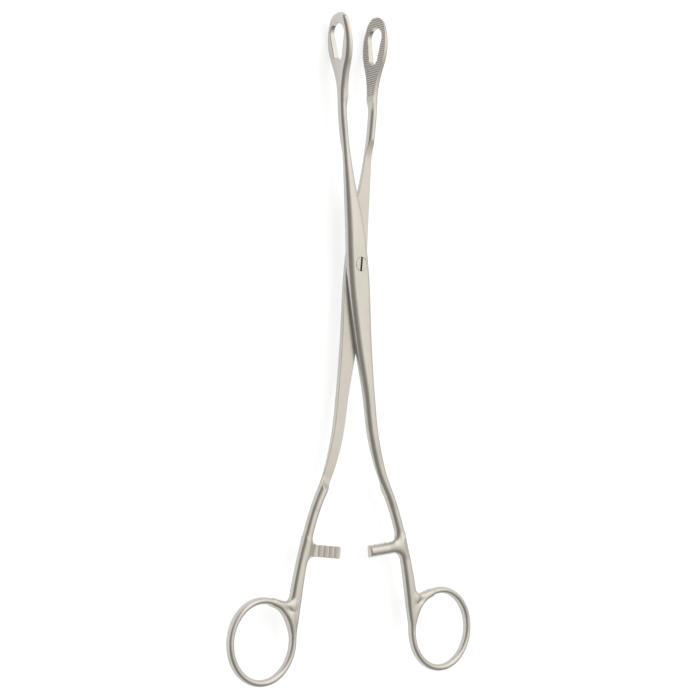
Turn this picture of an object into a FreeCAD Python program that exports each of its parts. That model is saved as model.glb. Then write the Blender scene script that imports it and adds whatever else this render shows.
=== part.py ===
import FreeCAD, Part
import math
import os

import Sketcher
from FreeCAD import Placement, Rotation, Vector

# Ring forceps with a screw joint, in millimetres. Both halves are drawn closed: +Y points to the
# jaws, the pivot axis is Z through the origin, and the halves lap on the plane Z = 0. The front half
# has its jaw at -X and its finger ring at +X. The rear half is the same forging turned over about Y.
# The bars' round corners are drawn as three chords each, and the rings' oval as twelve.

doc = FreeCAD.newDocument("PolypForceps")

# Driving sizes: alias, value, meaning.
drivingSizes = [
    ("open_angle", 5.5, "each half turned out from closed, in degrees"),
    ("flat_skim", 0.1, "stock ground off the outside of the joint"),
    ("joint_flat_length", 26.0, "length of the ground flat over the screw"),
    ("lap_gap", 0.04, "running gap between the two lap faces"),
    ("lap_jaw_end", 39.0, "where the lap face starts to run out towards the jaws"),
    ("lap_jaw_radius", 22.0, "cutter radius of that run-out"),
    ("lap_ring_end", 80.0, "where the lap face ends towards the rings"),
    ("lap_ring_radius", 5.0, "radius of the scooped shoulder there"),
    ("lap_margin", 0.6, "cut past the back of the blank"),
    ("jaw_widest", 83.0, "pivot to the jaw's widest place"),
    ("jaw_nose", 10.9, "widest place to the jaw's tip"),
    ("jaw_half_width", 6.0, "half of the jaw's greatest width"),
    ("jaw_side_radius", 20.0, "radius of the bulging sides"),
    ("jaw_blend_radius", 40.0, "radius of the hollow sides towards the neck"),
    ("jaw_neck_half", 1.7, "half width where the hollow sides end"),
    ("jaw_gap", 0.1, "gap between the two jaw faces when closed"),
    ("jaw_thickness", 2.6, "jaw face to back at the middle of the ring"),
    ("jaw_tip_thickness", 1.9, "jaw face to back at the tip"),
    ("jaw_back_round", 0.9, "rounding round the jaw's back"),
    ("window_nose", 6.8, "widest place to the window's far end"),
    ("window_radius", 3.7, "radius of the window's far end"),
    ("window_tail", 7.2, "widest place back to the window's near end"),
    ("window_low_radius", 2.2, "radius of the window's near end"),
    ("jaw_margin", 2.0, "stock left round the jaw before its outline is cut"),
    ("jaw_neck_back", 1.1, "jaw's root behind the neck's centre"),
    ("jaw_neck_front", 1.5, "jaw's root in front of the neck's centre"),
    ("face_run", 19.0, "widest place back to the start of the flat jaw face"),
    ("serration_pitch", 0.85, "pitch of the grooves across the jaw face"),
    ("serration_depth", 0.4, "depth of the grooves"),
    ("serration_count", 34, "number of grooves"),
    ("serration_run", 18.8, "widest place back to the first groove"),
    ("ring_x", 31.8, "centre line to the finger ring's centre, closed"),
    ("ring_y", 141.6, "pivot to the finger ring's centre"),
    ("ring_radius", 14.85, "finger ring's middle line"),
    ("ring_width", 2.5, "width of the ring's oval section in plan"),
    ("ring_depth", 3.7, "depth of the ring's oval section"),
    ("arm_y", 107.3, "pivot to the middle of the ratchet arm"),
    ("arm_reach", 3.6, "arm's tip past the centre line, closed"),
    ("arm_gap", 0.1, "lap plane to the tooth tips"),
    ("tooth_pitch", 2.7, "pitch of the ratchet teeth"),
    ("tooth_depth", 0.9, "depth of the ratchet teeth"),
    ("tooth_count", 4, "number of ratchet teeth"),
    ("tooth_start", 0.6, "arm's tip to the first notch"),
    ("tooth_land", 0.5, "flat crest of a tooth"),
    ("arm_relief", 11.6, "arm's tip to the end of its faced side"),
    ("arm_relief_run", 2.0, "slope from the faced side to the bar"),
    ("screw_radius", 1.6, "screw's shank"),
    ("screw_clearance", 0.04, "running gap round the screw in the front half"),
    ("head_radius", 2.6, "screw's head"),
    ("head_height", 1.3, "screw's head"),
    ("slot_width", 0.85, "driver slot"),
    ("slot_depth", 0.8, "driver slot"),
]

# Sections of the forged bar from the jaw to the finger ring. Each lies back along the bar, towards
# the rings, and across it from a place named in words, or from the pivot where they are empty:
# name, back from, back, across from, across, width in plan, full depth, corner radius.
barSections = [
    ("root", "- jaw_widest", 16.0, "", -1.8, 2.2, 3.0, 1.0),
    ("neck", "- jaw_widest", 25.0, "", -2.25, 3.0, 3.3, 1.3),
    ("throat", "", -44.0, "", -2.0, 3.1, 3.4, 1.3),
    ("swell", "", -31.0, "", -1.5, 5.0, 4.8, 1.6),
    ("shoulder", "", -15.0, "", -0.35, 8.7, 5.9, 2.1),
    ("pivot", "", 1.0, "", -0.2, 10.2, 6.0, 2.2),
    ("taper", "", 30.0, "", 0.1, 7.6, 6.0, 2.0),
    ("shank", "", 48.0, "", 1.15, 5.2, 5.8, 1.8),
    ("bend", "", 66.0, "", 2.4, 4.7, 5.4, 1.7),
    ("knee", "lap_ring_end", 0.0, "", 6.1, 4.2, 4.2, 1.7),
    ("grip", "lap_ring_end", 10.0, "", 10.2, 4.1, 3.9, 1.7),
    ("handle", "arm_y", -3.3, "", 14.1, 4.0, 3.8, 1.7),
    ("fork", "ring_y", -14.6, "ring_x - ring_radius", 0.45, 5.0, 3.8, 1.7),
    ("web", "ring_y", -10.1, "ring_x - ring_radius", 0.75, 5.0, 3.6, 1.6),
    ("splice", "ring_y", -1.6, "ring_x - ring_radius", 0.05, 1.6, 2.6, 0.7),
]

# Sections of the ratchet arm, from its tip to its flared root in the bar. The first three are
# placed from the arm's tip and the others from the middle of the bar:
# name, along from, along, width in plan, depth, corner radius, middle above the lap plane.
armSections = [
    ("arm_nose", "- arm_reach", 0.0, 2.6, 1.6, 0.7, 1.5),
    ("arm_tip", "- arm_reach", 0.8, 3.9, 2.6, 1.2, 1.4),
    ("arm_body", "- arm_reach", 10.5, 3.9, 2.8, 1.3, 1.3),
    ("arm_flare", "handle_x", -3.4, 5.4, 3.1, 1.3, 0.9),
    ("arm_root", "handle_x", -0.1, 10.5, 3.2, 1.4, 0.1),
]

# Places that several features use, as sums of named sizes.
jointFlat = "0.5 pivot_depth - flat_skim"
cutDepth = "0.5 pivot_depth + lap_margin"
jawTip = "jaw_widest + jaw_nose"
jawFoot = "jaw_widest - neck_back"
jawFace = "-0.5 jaw_gap"
firstGroove = "jaw_widest - serration_run"
firstTooth = "- arm_reach + tooth_start"

sheet = doc.addObject("Spreadsheet::Sheet", "Sizes")
values = {}


def setSize(alias, value, note):
    """Writes one named size to the next row of the sheet."""
    row = str(len(values) + 1)
    sheet.set("A" + row, alias)
    sheet.set("B" + row, str(value))
    sheet.set("C" + row, note)
    sheet.setAlias("B" + row, alias)
    values[alias] = value


for alias, value, note in drivingSizes:
    setSize(alias, value, note)
for name, backFrom, back, acrossFrom, across, width, depth, corner in barSections:
    setSize(name + "_back", back, "back along the bar from its named place")
    setSize(name + "_x", across, "centre across the bar from its named place")
    setSize(name + "_width", width, "width in plan")
    setSize(name + "_depth", depth, "full depth")
    setSize(name + "_corner", corner, "corner radius")
for name, alongFrom, along, width, depth, corner, height in armSections:
    setSize(name + "_along", along, "along the arm from its named place")
    setSize(name + "_width", width, "width in plan")
    setSize(name + "_depth", depth, "depth")
    setSize(name + "_corner", corner, "corner radius")
    setSize(name + "_height", height, "middle of the section above the lap plane")
doc.recompute()


def worked(words):
    """Adds up named sizes, as in "jaw_widest - 2 jaw_margin": the sum and the sheet's expression."""
    total = 0
    text = "0"
    factor = 1
    for word in words.split():
        if word in ("+", "-"):
            factor = float(word + "1")
        elif word in values:
            total += factor * values[word]
            text += " + (" + str(factor) + ") * Sizes." + word
            factor = 1
        else:
            factor *= float(word)
    return total, text


def originPlane(body, role):
    """Finds one of the body's own origin planes or axes by its role."""
    return [item for item in body.Origin.OriginFeatures if item.Role == role][0]


def newSketch(body, label, role, **offsets):
    """Puts an empty sketch on an origin plane, moved from there by the offsets x, y and z."""
    sketch = body.newObject("Sketcher::SketchObject", label)
    sketch.AttachmentSupport = (originPlane(body, role), [""])
    sketch.MapMode = "FlatFace"
    for axis, words in offsets.items():
        sketch.setExpression("AttachmentOffset.Base." + axis, worked(words)[1])
    return sketch


def constrain(sketch, name, constraint, words):
    """Adds a named dimension that follows the sheet."""
    index = sketch.addConstraint(constraint)
    sketch.renameConstraint(index, name)
    sketch.setExpression("Constraints." + name, worked(words)[1])


def hold(sketch, curve, end, across=None, up=None):
    """Fixes one end of a curve at a place given in words."""
    name = "point" + str(curve) + "end" + str(end)
    if across is not None:
        span = Sketcher.Constraint("DistanceX", -1, 1, curve, end, worked(across)[0])
        constrain(sketch, name + "across", span, across)
    if up is not None:
        rise = Sketcher.Constraint("DistanceY", -1, 1, curve, end, worked(up)[0])
        constrain(sketch, name + "up", rise, up)


def closedOutline(sketch, corners):
    """Straight-sided outline through corners, each given in words as across and up."""
    first = sketch.GeometryCount
    count = len(corners)
    points = [Vector(worked(across)[0], worked(up)[0]) for across, up in corners]
    for index in range(count):
        side = Part.LineSegment(points[index], points[(index + 1) % count])
        sketch.addGeometry(side, False)
    for index in range(count):
        following = first + (index + 1) % count
        sketch.addConstraint(Sketcher.Constraint("Coincident", first + index, 2, following, 1))
    for index, (across, up) in enumerate(corners):
        hold(sketch, first + index, 1, across, up)


def roundedSection(sketch, alias):
    """Rectangle about the sketch's origin, each corner rounded by three chords of its arc."""
    corners = []
    for quarter, (right, top) in enumerate(((1, 1), (-1, 1), (-1, -1), (1, -1))):
        for step in range(4):
            turn = math.radians(90 * quarter + 30 * step)
            outward = f"{math.cos(turn) - right:.6f} {alias}_corner"
            upward = f"{math.sin(turn) - top:.6f} {alias}_corner"
            corners.append((f"{0.5 * right} {alias}_width + {outward}",
                            f"{0.5 * top} {alias}_depth + {upward}"))
    closedOutline(sketch, corners)


def ringOval(sketch):
    """Section of the finger ring beside the ring's axis: twelve chords of an oval."""
    corners = []
    for step in range(12):
        turn = math.radians(30 * step)
        across = f"ring_radius + {0.5 * math.cos(turn):.6f} ring_width"
        corners.append((across, f"{0.5 * math.sin(turn):.6f} ring_depth"))
    closedOutline(sketch, corners)


def loft(body, label, sections):
    """Skins the sections in order and joins the result to the body."""
    skin = body.newObject("PartDesign::AdditiveLoft", label)
    skin.Profile = sections[0]
    skin.Sections = sections[1:]
    skin.Ruled = False


def cut(body, label, sketch, length=None, side="Symmetric", turned=False):
    """Pocket through everything, or to a length given in words."""
    pocket = body.newObject("PartDesign::Pocket", label)
    pocket.Profile = sketch
    pocket.SideType = side
    pocket.Reversed = turned
    if length is None:
        pocket.Type = "ThroughAll"
    else:
        pocket.Type = "Length"
        pocket.setExpression("Length", worked(length)[1])
    return pocket


def repeat(body, label, feature, axis, kind):
    """Repeats one cut along an axis of the body, by the pitch and count of its kind."""
    pattern = body.newObject("PartDesign::LinearPattern", label)
    pattern.Originals = [feature]
    pattern.Direction = (originPlane(body, axis), [""])
    pattern.setExpression("Length", f"(Sizes.{kind}_count - 1) * Sizes.{kind}_pitch")
    pattern.setExpression("Occurrences", f"Sizes.{kind}_count")
    body.Tip = pattern


def jawOutline(sketch):
    """Egg outline seen along X: round tip, bulging sides, hollow sides running into the neck.

    The side's centre lies level with the widest place; the tip arc touches it from inside, and the
    hollow arc touches it from outside and ends along the bar.
    """
    widest = values["jaw_widest"]
    nose = values["jaw_nose"]
    sideRadius = values["jaw_side_radius"]
    blendRadius = values["jaw_blend_radius"]
    neckHalf = values["jaw_neck_half"]
    below = sideRadius - values["jaw_half_width"]
    inside = sideRadius - nose
    tipCentre = Vector(widest + (below ** 2 - inside ** 2) / (2 * inside), 0)
    tipRadius = widest + nose - tipCentre.x
    sideCentre = Vector(widest, -below)
    rise = neckHalf + blendRadius + below
    reach = math.sqrt((sideRadius + blendRadius) ** 2 - rise ** 2)
    blendCentre = Vector(widest - reach, neckHalf + blendRadius)
    tipTouch = tipCentre - sideCentre
    tipTurn = math.atan2(tipTouch.y, tipTouch.x)
    sideTouch = blendCentre - sideCentre
    sideTurn = math.atan2(sideTouch.y, sideTouch.x)
    up = Vector(0, 0, 1)
    arcs = [
        (tipCentre, tipRadius, -tipTurn, tipTurn),
        (sideCentre, sideRadius, tipTurn, sideTurn),
        (blendCentre, blendRadius, -0.5 * math.pi, sideTurn - math.pi),
        (Vector(blendCentre.x, -blendCentre.y), blendRadius, math.pi - sideTurn, 0.5 * math.pi),
        (Vector(sideCentre.x, -sideCentre.y), sideRadius, -sideTurn, -tipTurn),
    ]
    for centre, radius, start, end in arcs:
        sketch.addGeometry(Part.ArcOfCircle(Part.Circle(centre, up, radius), start, end), False)
    nearEnd = blendCentre.x
    neckLine = Part.LineSegment(Vector(nearEnd, neckHalf), Vector(nearEnd, -neckHalf))
    sketch.addGeometry(neckLine, False)
    tipPoint = sketch.addGeometry(Part.Point(Vector(widest + nose, 0)), True)
    add = sketch.addConstraint
    add(Sketcher.Constraint("Tangent", 0, 2, 1, 1))
    add(Sketcher.Constraint("Tangent", 1, 2, 2, 2))
    add(Sketcher.Constraint("Coincident", 2, 1, 5, 1))
    add(Sketcher.Constraint("Coincident", 5, 2, 3, 2))
    add(Sketcher.Constraint("Tangent", 3, 1, 4, 1))
    add(Sketcher.Constraint("Tangent", 4, 2, 0, 1))
    add(Sketcher.Constraint("PointOnObject", tipPoint, 1, 0))
    add(Sketcher.Constraint("PointOnObject", tipPoint, 1, -1))
    add(Sketcher.Constraint("Vertical", 2, 3, 2, 1))
    add(Sketcher.Constraint("Vertical", 3, 3, 3, 2))
    add(Sketcher.Constraint("Vertical", 1, 3, 4, 3))
    add(Sketcher.Constraint("Equal", 1, 4))
    add(Sketcher.Constraint("Equal", 2, 3))
    hold(sketch, tipPoint, 1, jawTip)
    hold(sketch, 1, 3, "jaw_widest", "jaw_half_width - jaw_side_radius")
    hold(sketch, 4, 3, None, "jaw_side_radius - jaw_half_width")
    hold(sketch, 2, 1, None, "jaw_neck_half")
    constrain(sketch, "sideRadius", Sketcher.Constraint("Radius", 1, sideRadius), "jaw_side_radius")
    constrain(sketch, "blendRadius", Sketcher.Constraint("Radius", 2, blendRadius),
              "jaw_blend_radius")


def arcEnd(sketch, arc, place):
    """Which end of the arc lies at the place: 1 for its start, 2 for its end."""
    return 1 if sketch.getPoint(arc, 1).distanceToPoint(place) < 0.001 else 2


def jawSideProfile(sketch):
    """Jaw seen along Z: flat face, ramp back to the neck, and an arched back."""
    beyond = jawTip + " + jaw_margin"
    face = worked(jawFace)[0]
    rampFoot = Vector(face, worked("jaw_widest - face_run")[0])
    tipFace = Vector(face, worked(beyond)[0])
    tipBack = Vector(face - values["jaw_tip_thickness"], tipFace.y)
    rootBack = Vector(worked("neck_x - jaw_neck_back")[0], worked(jawFoot)[0])
    rootFront = Vector(worked("neck_x + jaw_neck_front")[0], rootBack.y)
    middle = Vector(face - values["jaw_thickness"], values["jaw_widest"])
    sketch.addGeometry(Part.LineSegment(rampFoot, tipFace), False)
    sketch.addGeometry(Part.LineSegment(tipFace, tipBack), False)
    sketch.addGeometry(Part.Arc(tipBack, middle, rootBack), False)
    sketch.addGeometry(Part.LineSegment(rootBack, rootFront), False)
    sketch.addGeometry(Part.LineSegment(rootFront, rampFoot), False)
    crown = sketch.addGeometry(Part.Point(middle), True)
    add = sketch.addConstraint
    add(Sketcher.Constraint("Coincident", 0, 2, 1, 1))
    add(Sketcher.Constraint("Coincident", 1, 2, 2, arcEnd(sketch, 2, tipBack)))
    add(Sketcher.Constraint("Coincident", 3, 1, 2, arcEnd(sketch, 2, rootBack)))
    add(Sketcher.Constraint("Coincident", 3, 2, 4, 1))
    add(Sketcher.Constraint("Coincident", 4, 2, 0, 1))
    add(Sketcher.Constraint("PointOnObject", crown, 1, 2))
    hold(sketch, 0, 1, jawFace, "jaw_widest - face_run")
    hold(sketch, 0, 2, jawFace, beyond)
    hold(sketch, 1, 2, jawFace + " - jaw_tip_thickness", beyond)
    hold(sketch, 3, 1, "neck_x - jaw_neck_back", jawFoot)
    hold(sketch, 3, 2, "neck_x + jaw_neck_front", jawFoot)
    hold(sketch, crown, 1, jawFace + " - jaw_thickness", "jaw_widest")


def windowOutline(sketch):
    """Teardrop: a large round end and a small one, joined by their two common tangents."""
    farPlace = "jaw_widest + window_nose - window_radius"
    nearPlace = "jaw_widest - window_tail + window_low_radius"
    farRadius = values["window_radius"]
    nearRadius = values["window_low_radius"]
    far = worked(farPlace)[0]
    near = worked(nearPlace)[0]
    side = math.pi - math.acos((farRadius - nearRadius) / (far - near))
    up = Vector(0, 0, 1)
    farCircle = Part.Circle(Vector(far, 0), up, farRadius)
    nearCircle = Part.Circle(Vector(near, 0), up, nearRadius)
    direction = Vector(math.cos(side), math.sin(side))
    mirrored = Vector(direction.x, -direction.y)
    sketch.addGeometry(Part.ArcOfCircle(farCircle, -side, side), False)
    sketch.addGeometry(Part.LineSegment(Vector(far, 0) + direction * farRadius,
                                        Vector(near, 0) + direction * nearRadius), False)
    sketch.addGeometry(Part.ArcOfCircle(nearCircle, side, 2 * math.pi - side), False)
    sketch.addGeometry(Part.LineSegment(Vector(near, 0) + mirrored * nearRadius,
                                        Vector(far, 0) + mirrored * farRadius), False)
    for index in range(4):
        sketch.addConstraint(Sketcher.Constraint("Tangent", index, 2, (index + 1) % 4, 1))
    for arc, place in ((0, farPlace), (2, nearPlace)):
        sketch.addConstraint(Sketcher.Constraint("PointOnObject", arc, 3, -1))
        hold(sketch, arc, 3, place)
    constrain(sketch, "farRadius", Sketcher.Constraint("Radius", 0, farRadius), "window_radius")
    constrain(sketch, "nearRadius", Sketcher.Constraint("Radius", 2, nearRadius),
              "window_low_radius")


def lapProfile(sketch):
    """Removed side of the joint seen along X: flat on the lap plane, run out by arcs at both ends."""
    flat = values["lap_gap"] / 2
    depth = worked(cutDepth)[0]
    ends = []
    for along, radius in ((values["lap_jaw_end"], values["lap_jaw_radius"]),
                          (-values["lap_ring_end"], values["lap_ring_radius"])):
        outward = math.copysign(1, along)
        turn = math.acos((radius - depth - flat) / radius)
        foot = Vector(along + outward * radius * math.sin(turn), -depth)
        half = Vector(along + outward * radius * math.sin(turn / 2),
                      flat - radius + radius * math.cos(turn / 2))
        ends.append((Vector(along, flat), half, foot))
    (jawTop, jawHalf, jawLow), (ringTop, ringHalf, ringLow) = ends
    sketch.addGeometry(Part.LineSegment(ringTop, jawTop), False)
    sketch.addGeometry(Part.Arc(jawTop, jawHalf, jawLow), False)
    sketch.addGeometry(Part.LineSegment(jawLow, ringLow), False)
    sketch.addGeometry(Part.Arc(ringLow, ringHalf, ringTop), False)
    add = sketch.addConstraint
    add(Sketcher.Constraint("Tangent", 0, 2, 1, arcEnd(sketch, 1, jawTop)))
    add(Sketcher.Constraint("Coincident", 2, 1, 1, arcEnd(sketch, 1, jawLow)))
    add(Sketcher.Constraint("Coincident", 2, 2, 3, arcEnd(sketch, 3, ringLow)))
    add(Sketcher.Constraint("Tangent", 0, 1, 3, arcEnd(sketch, 3, ringTop)))
    add(Sketcher.Constraint("Horizontal", 2))
    hold(sketch, 0, 1, "- lap_ring_end", "0.5 lap_gap")
    hold(sketch, 0, 2, "lap_jaw_end", "0.5 lap_gap")
    hold(sketch, 2, 1, None, "-0.5 pivot_depth - lap_margin")
    jawRun = Sketcher.Constraint("Radius", 1, values["lap_jaw_radius"])
    constrain(sketch, "jawRadius", jawRun, "lap_jaw_radius")
    ringRun = Sketcher.Constraint("Radius", 3, values["lap_ring_radius"])
    constrain(sketch, "ringRadius", ringRun, "lap_ring_radius")


def stockFrame(sketch):
    """Rectangle round the jaw's outline, past its stock on every side."""
    near = jawFoot + " - jaw_margin"
    far = jawTip + " + 2 jaw_margin"
    right = "jaw_half_width + 2 jaw_margin"
    left = "- jaw_half_width - 2 jaw_margin"
    closedOutline(sketch, [(near, left), (far, left), (far, right), (near, right)])


def flatProfile(sketch):
    """Stock outside the joint's ground flat, seen along X."""
    near = "-0.5 joint_flat_length"
    far = "0.5 joint_flat_length"
    closedOutline(sketch, [(near, jointFlat), (far, jointFlat), (far, cutDepth), (near, cutDepth)])


def reliefProfile(sketch):
    """Stock between the arm's tooth tips and the other half, seen along the bar."""
    near = "- arm_reach - jaw_margin"
    far = "- arm_reach + arm_relief"
    low = "- arm_root_depth"
    closedOutline(sketch, [(near, low), (far + " + arm_relief_run", low), (far, "arm_gap"),
                           (near, "arm_gap")])


def toothProfile(sketch):
    """One notch: a steep face towards the arm's root and a ramp towards its tip."""
    foot = firstTooth + " + tooth_land"
    steep = firstTooth + " + tooth_pitch"
    low = "- tooth_depth"
    closedOutline(sketch, [(foot, low), (steep, low), (steep, "arm_gap + tooth_depth"),
                           (foot, "arm_gap")])


def grooveProfile(sketch):
    """One V groove across the jaw face."""
    closedOutline(sketch, [
        (jawFace, firstGroove + " - 0.5 serration_pitch"),
        (jawFace, firstGroove + " + 0.5 serration_pitch"),
        (jawFace + " - serration_depth", firstGroove),
    ])


def addCircle(sketch, words):
    """Circle about the sketch's origin."""
    radius = worked(words)[0]
    circle = sketch.addGeometry(Part.Circle(Vector(0, 0), Vector(0, 0, 1), radius), False)
    sketch.addConstraint(Sketcher.Constraint("Coincident", circle, 3, -1, 1))
    constrain(sketch, "radius", Sketcher.Constraint("Radius", circle, radius), words)


def backEdges(shape):
    """Edges round the back of the jaw, left sharp by the two outlines that shape it."""
    behind = worked("-0.5 jaw_tip_thickness - jaw_gap")[0]
    beyondFoot = worked(jawFoot)[0] + 0.5
    found = []
    for index, edge in enumerate(shape.Edges):
        half = (edge.FirstParameter + edge.LastParameter) / 2
        middle = edge.valueAt(half)
        tangent = edge.tangentAt(half)
        alongOutline = abs(tangent.x) < 0.9 and abs(middle.z) > 0.01
        if middle.x < behind and middle.y > beyondFoot and (alongOutline or abs(tangent.y) < 0.5):
            found.append("Edge" + str(index + 1))
    return found


def makeHalf(label, boreWords, isFront):
    """One forging with its jaw, lap, ratchet arm and finger ring, drawn closed."""
    body = doc.addObject("PartDesign::Body", label)

    # Jaw: side profile through the whole width, then the egg outline cut round it.
    side = newSketch(body, label + "JawSide", "XY_Plane")
    jawSideProfile(side)
    blank = body.newObject("PartDesign::Pad", label + "JawBlank")
    blank.Profile = side
    blank.SideType = "Symmetric"
    blank.setExpression("Length", worked("2 jaw_half_width + 2 jaw_margin")[1])
    frame = newSketch(body, label + "JawFrame", "YZ_Plane")
    jawOutline(frame)
    stockFrame(frame)
    trim = cut(body, label + "JawTrim", frame)
    doc.recompute()
    rounding = body.newObject("PartDesign::Fillet", label + "JawBack")
    rounding.Base = (trim, backEdges(trim.Shape))
    rounding.setExpression("Radius", "Sizes.jaw_back_round")
    window = newSketch(body, label + "Window", "YZ_Plane")
    windowOutline(window)
    cut(body, label + "JawWindow", window)

    # Bar: lofted through its sections from inside the jaw to inside the finger ring.
    sections = []
    for name, backFrom, back, acrossFrom, *rest in barSections:
        section = newSketch(body, label + name.capitalize(), "XZ_Plane",
                            x=f"{acrossFrom} + {name}_x", z=f"{backFrom} + {name}_back")
        roundedSection(section, name)
        sections.append(section)
    loft(body, label + "Bar", sections)

    # Finger ring: an oval section turned about the ring's axis.
    oval = newSketch(body, label + "RingOval", "XZ_Plane", x="ring_x", z="ring_y")
    ringOval(oval)
    ring = body.newObject("PartDesign::Revolution", label + "Ring")
    ring.Profile = oval
    ring.ReferenceAxis = (oval, ["V_Axis"])
    ring.Angle = 360

    # Ratchet arm: lofted from its nose to its flared root in the bar.
    sections = []
    for name, alongFrom, *rest in armSections:
        section = newSketch(body, label + name.title().replace("_", ""), "YZ_Plane", x="- arm_y",
                            y=name + "_height", z=f"{alongFrom} + {name}_along")
        roundedSection(section, name)
        sections.append(section)
    loft(body, label + "Arm", sections)

    # Lap face, with a cutter's run-out at each end, and the ground flat outside the joint.
    lap = newSketch(body, label + "Lap", "YZ_Plane")
    lapProfile(lap)
    cut(body, label + "LapFace", lap)
    flat = newSketch(body, label + "Flat", "YZ_Plane")
    flatProfile(flat)
    cut(body, label + "JointFlat", flat)

    # Ratchet: the arm's inner side is faced off, then one tooth is cut and repeated along it.
    relief = newSketch(body, label + "Relief", "XZ_Plane", z="arm_y")
    reliefProfile(relief)
    cut(body, label + "ArmFace", relief, "2 arm_tip_width")
    tooth = newSketch(body, label + "Tooth", "XZ_Plane", z="arm_y")
    toothProfile(tooth)
    notch = cut(body, label + "ToothNotch", tooth, "2 arm_tip_width")
    repeat(body, label + "Ratchet", notch, "X_Axis", "tooth")

    # Screw hole, with a seat for the head in the front half.
    bore = newSketch(body, label + "Bore", "XY_Plane")
    addCircle(bore, boreWords)
    cut(body, label + "ScrewBore", bore)
    if isFront:
        seat = newSketch(body, label + "Seat", "XY_Plane", z=jointFlat + " - head_height")
        addCircle(seat, "head_radius + screw_clearance")
        cut(body, label + "HeadSeat", seat, "2 head_height", "One side", True)

    # Jaw face: one groove across it, repeated from the ramp to the tip.
    groove = newSketch(body, label + "Groove", "XY_Plane")
    grooveProfile(groove)
    first = cut(body, label + "FirstGroove", groove)
    repeat(body, label + "Serration", first, "Y_Axis", "serration")
    return body


def makeScrew(label):
    """Slotted screw: shank from the rear flat to the head, head flush with the front flat."""
    body = doc.addObject("PartDesign::Body", label)
    shank = newSketch(body, label + "ShankCircle", "XY_Plane", z="-0.5 pivot_depth + flat_skim")
    addCircle(shank, "screw_radius")
    stem = body.newObject("PartDesign::Pad", label + "Shank")
    stem.Profile = shank
    stem.setExpression("Length", worked("pivot_depth - 2 flat_skim")[1])
    crown = newSketch(body, label + "HeadCircle", "XY_Plane", z=jointFlat)
    addCircle(crown, "head_radius")
    head = body.newObject("PartDesign::Pad", label + "Head")
    head.Profile = crown
    head.Reversed = True
    head.setExpression("Length", worked("head_height - screw_clearance")[1])
    slot = newSketch(body, label + "SlotLine", "XZ_Plane")
    left = "-0.5 slot_width"
    right = "0.5 slot_width"
    low = jointFlat + " - slot_depth"
    high = jointFlat + " + slot_depth"
    closedOutline(slot, [(left, low), (right, low), (right, high), (left, high)])
    cut(body, label + "Slot", slot)
    return body


front = makeHalf("front_half", "screw_radius + screw_clearance", True)
rear = makeHalf("rear_half", "screw_radius", False)
screw = makeScrew("joint_screw")

# Rest pose: the rear half turned over and both halves swung open about the pivot, with the joint's
# rear flat on the plane Z = 0.
up = Vector(0, 0, 1)
lift = Vector(0, 0, worked(jointFlat)[0])
swing = values["open_angle"]
turnOver = Rotation(Vector(0, 1, 0), 180)
front.Placement = Placement(lift, Rotation(up, swing))
rear.Placement = Placement(lift, Rotation(up, -swing).multiply(turnOver))
screw.Placement = Placement(lift, Rotation(up, -swing))
doc.recompute()

for item in doc.Objects:
    if "Invalid" in item.State or "Error" in item.State:
        raise RuntimeError("not built: " + item.Label)
subParts = [front, rear, screw]
for body in subParts:
    if body.Shape.isNull() or not body.Shape.isValid() or len(body.Shape.Solids) != 1:
        raise RuntimeError("not a sound solid: " + body.Label)

os.makedirs("parts", exist_ok=True)
for body in subParts:
    body.Shape.exportStep(os.path.join("parts", body.Label + ".step"))
    print(body.Label, round(body.Shape.Volume, 1), "mm3")
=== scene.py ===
import math

import bpy
import numpy as np
from mathutils import Matrix, Vector


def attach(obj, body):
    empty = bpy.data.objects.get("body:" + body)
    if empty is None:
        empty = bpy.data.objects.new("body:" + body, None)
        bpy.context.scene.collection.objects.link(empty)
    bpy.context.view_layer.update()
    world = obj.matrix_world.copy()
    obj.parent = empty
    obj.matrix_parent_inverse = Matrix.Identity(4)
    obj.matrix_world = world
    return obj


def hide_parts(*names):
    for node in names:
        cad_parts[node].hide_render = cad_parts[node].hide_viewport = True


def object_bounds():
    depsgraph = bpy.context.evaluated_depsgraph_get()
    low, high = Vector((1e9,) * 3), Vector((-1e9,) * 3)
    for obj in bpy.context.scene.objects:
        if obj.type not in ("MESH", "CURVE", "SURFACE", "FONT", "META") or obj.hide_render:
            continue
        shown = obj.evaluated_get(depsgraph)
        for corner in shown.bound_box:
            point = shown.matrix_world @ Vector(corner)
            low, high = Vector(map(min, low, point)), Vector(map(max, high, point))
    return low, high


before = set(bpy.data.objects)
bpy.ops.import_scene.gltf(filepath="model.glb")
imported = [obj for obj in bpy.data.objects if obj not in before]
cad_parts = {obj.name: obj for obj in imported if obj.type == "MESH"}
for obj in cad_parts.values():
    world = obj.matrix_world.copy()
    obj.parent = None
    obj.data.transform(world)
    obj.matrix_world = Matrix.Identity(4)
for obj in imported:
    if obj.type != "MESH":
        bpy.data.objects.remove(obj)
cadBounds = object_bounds()
print("frame loaded:", len(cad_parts), "nodes")

mm = 0.001  # lengths below are in millimetres unless a line says otherwise
lapHeight = 2.9 * mm  # lap plane above the joint's rear flat, where the frame's origin lies

# Camera: turned to the left of the lying forceps, with a long lens
cameraPlace = {
    "turn": math.radians(43.0),
    "tilt": math.radians(-1.34),
    "roll": math.radians(-0.42),
    "distance": 944 * mm,
    "focalPixels": 2532,
    "imagePixels": 700,
    "sensor": 36.0,
    "shiftRight": 2.35 * mm,
    "shiftUp": 31.9 * mm,
}

# The steel's tones and finish, used by every piece
steelFinish = {
    "light": (0.83, 0.81, 0.775),
    "dark": (0.74, 0.72, 0.69),
    # painted shade: this dark colour is mixed into hollows, creases and the screw slot, partly as grime and
    # partly as painted shade
    "shadeGrime": (0.24, 0.18, 0.145),
    "worn": (0.90, 0.885, 0.86),
    "roughness": 0.29,
    "polishedRoughness": 0.19,
    "relief": 0.12,
    "jawFrom": 0.060,  # metres along the forceps where the brighter jaw finish begins
    "jawTo": 0.072,
}


# Field tools: a field is negative inside the metal, zero on its skin, and grows like a distance outside

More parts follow.
